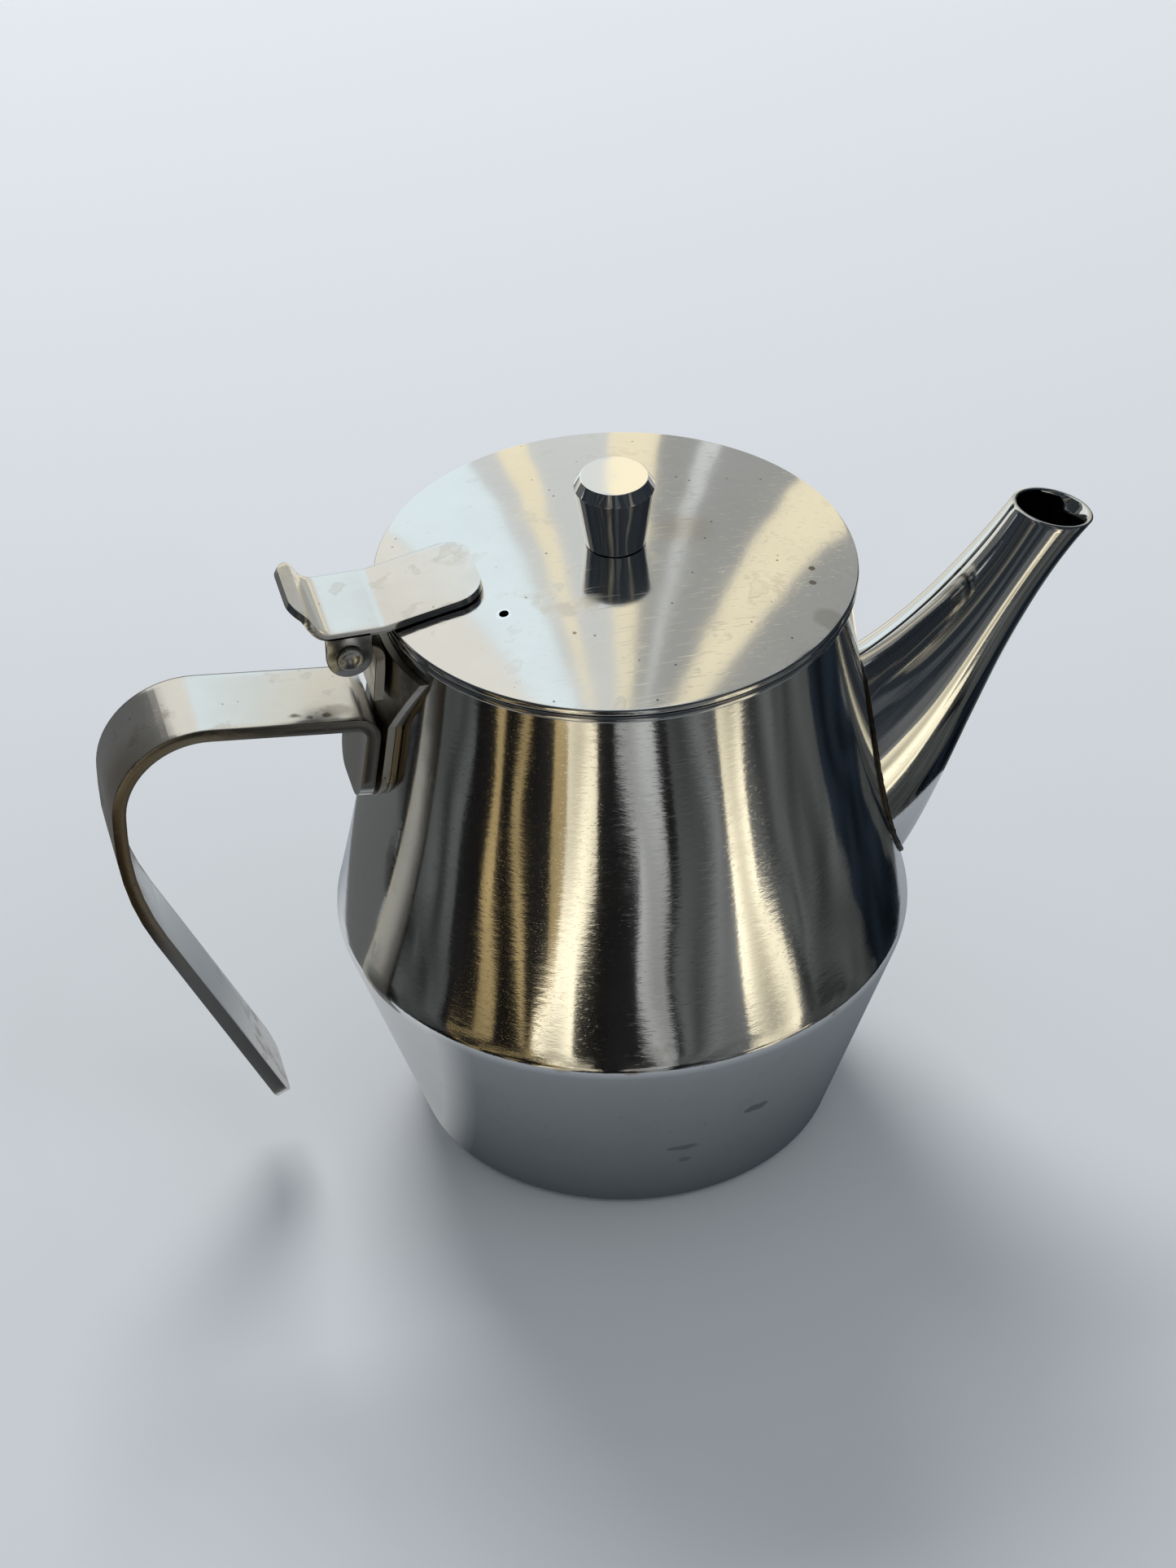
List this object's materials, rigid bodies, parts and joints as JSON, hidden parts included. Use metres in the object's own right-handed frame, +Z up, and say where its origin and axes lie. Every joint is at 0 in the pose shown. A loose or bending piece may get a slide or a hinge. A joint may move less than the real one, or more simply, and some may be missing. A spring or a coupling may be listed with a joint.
{
  "type": "teapot",
  "caption": "Small stainless steel teapot with a conical body, a long tapering spout, a flat strap handle open at its lower end, and a domed hinged lid with a turned knob and a thumb rest",
  "frame": {"origin": "On the table, under the middle of the pot: the centre of its flat base.", "axes": "+Z is up along the pot's axis, +X points to the spout and -X to the handle and the hinge; the XZ plane is the plane of symmetry."},
  "size_m": [0.1912, 0.1104, 0.142],
  "materials": {
    "pot_steel": "polished with fine horizontal brushing",
    "spout_steel": "mirror polished",
    "weld_metal": "dark brown, rough weld",
    "plate_steel": "dull, stained",
    "strap_steel": "satin, tarnished at edges and bends",
    "pin_steel": "dull",
    "lid_steel": "satin with fine scratches and water marks",
    "knob_steel": "mirror polished"
  },
  "bodies": {
    "pot": {"body_shell": "pot_steel", "spout": "spout_steel", "spout_weld": "weld_metal", "saddle_plate": "plate_steel", "handle_strap": "strap_steel", "hinge_bracket": "plate_steel"},
    "lid": {"hinge_pin": "pin_steel", "hinge_leaf": "strap_steel", "lid_disc": "lid_steel", "lid_locating_ring": "lid_steel", "knob": "knob_steel", "knob_washer": "pin_steel", "knob_screw": "pin_steel"}
  },
  "joints": [
    {"name": "lid_hinge", "type": "hinge", "parent": "pot", "child": "lid", "pos_m": [-0.0525, 0, 0.1175], "axis": [0, -1, 0], "range_deg": [0, 100]}
  ]
}
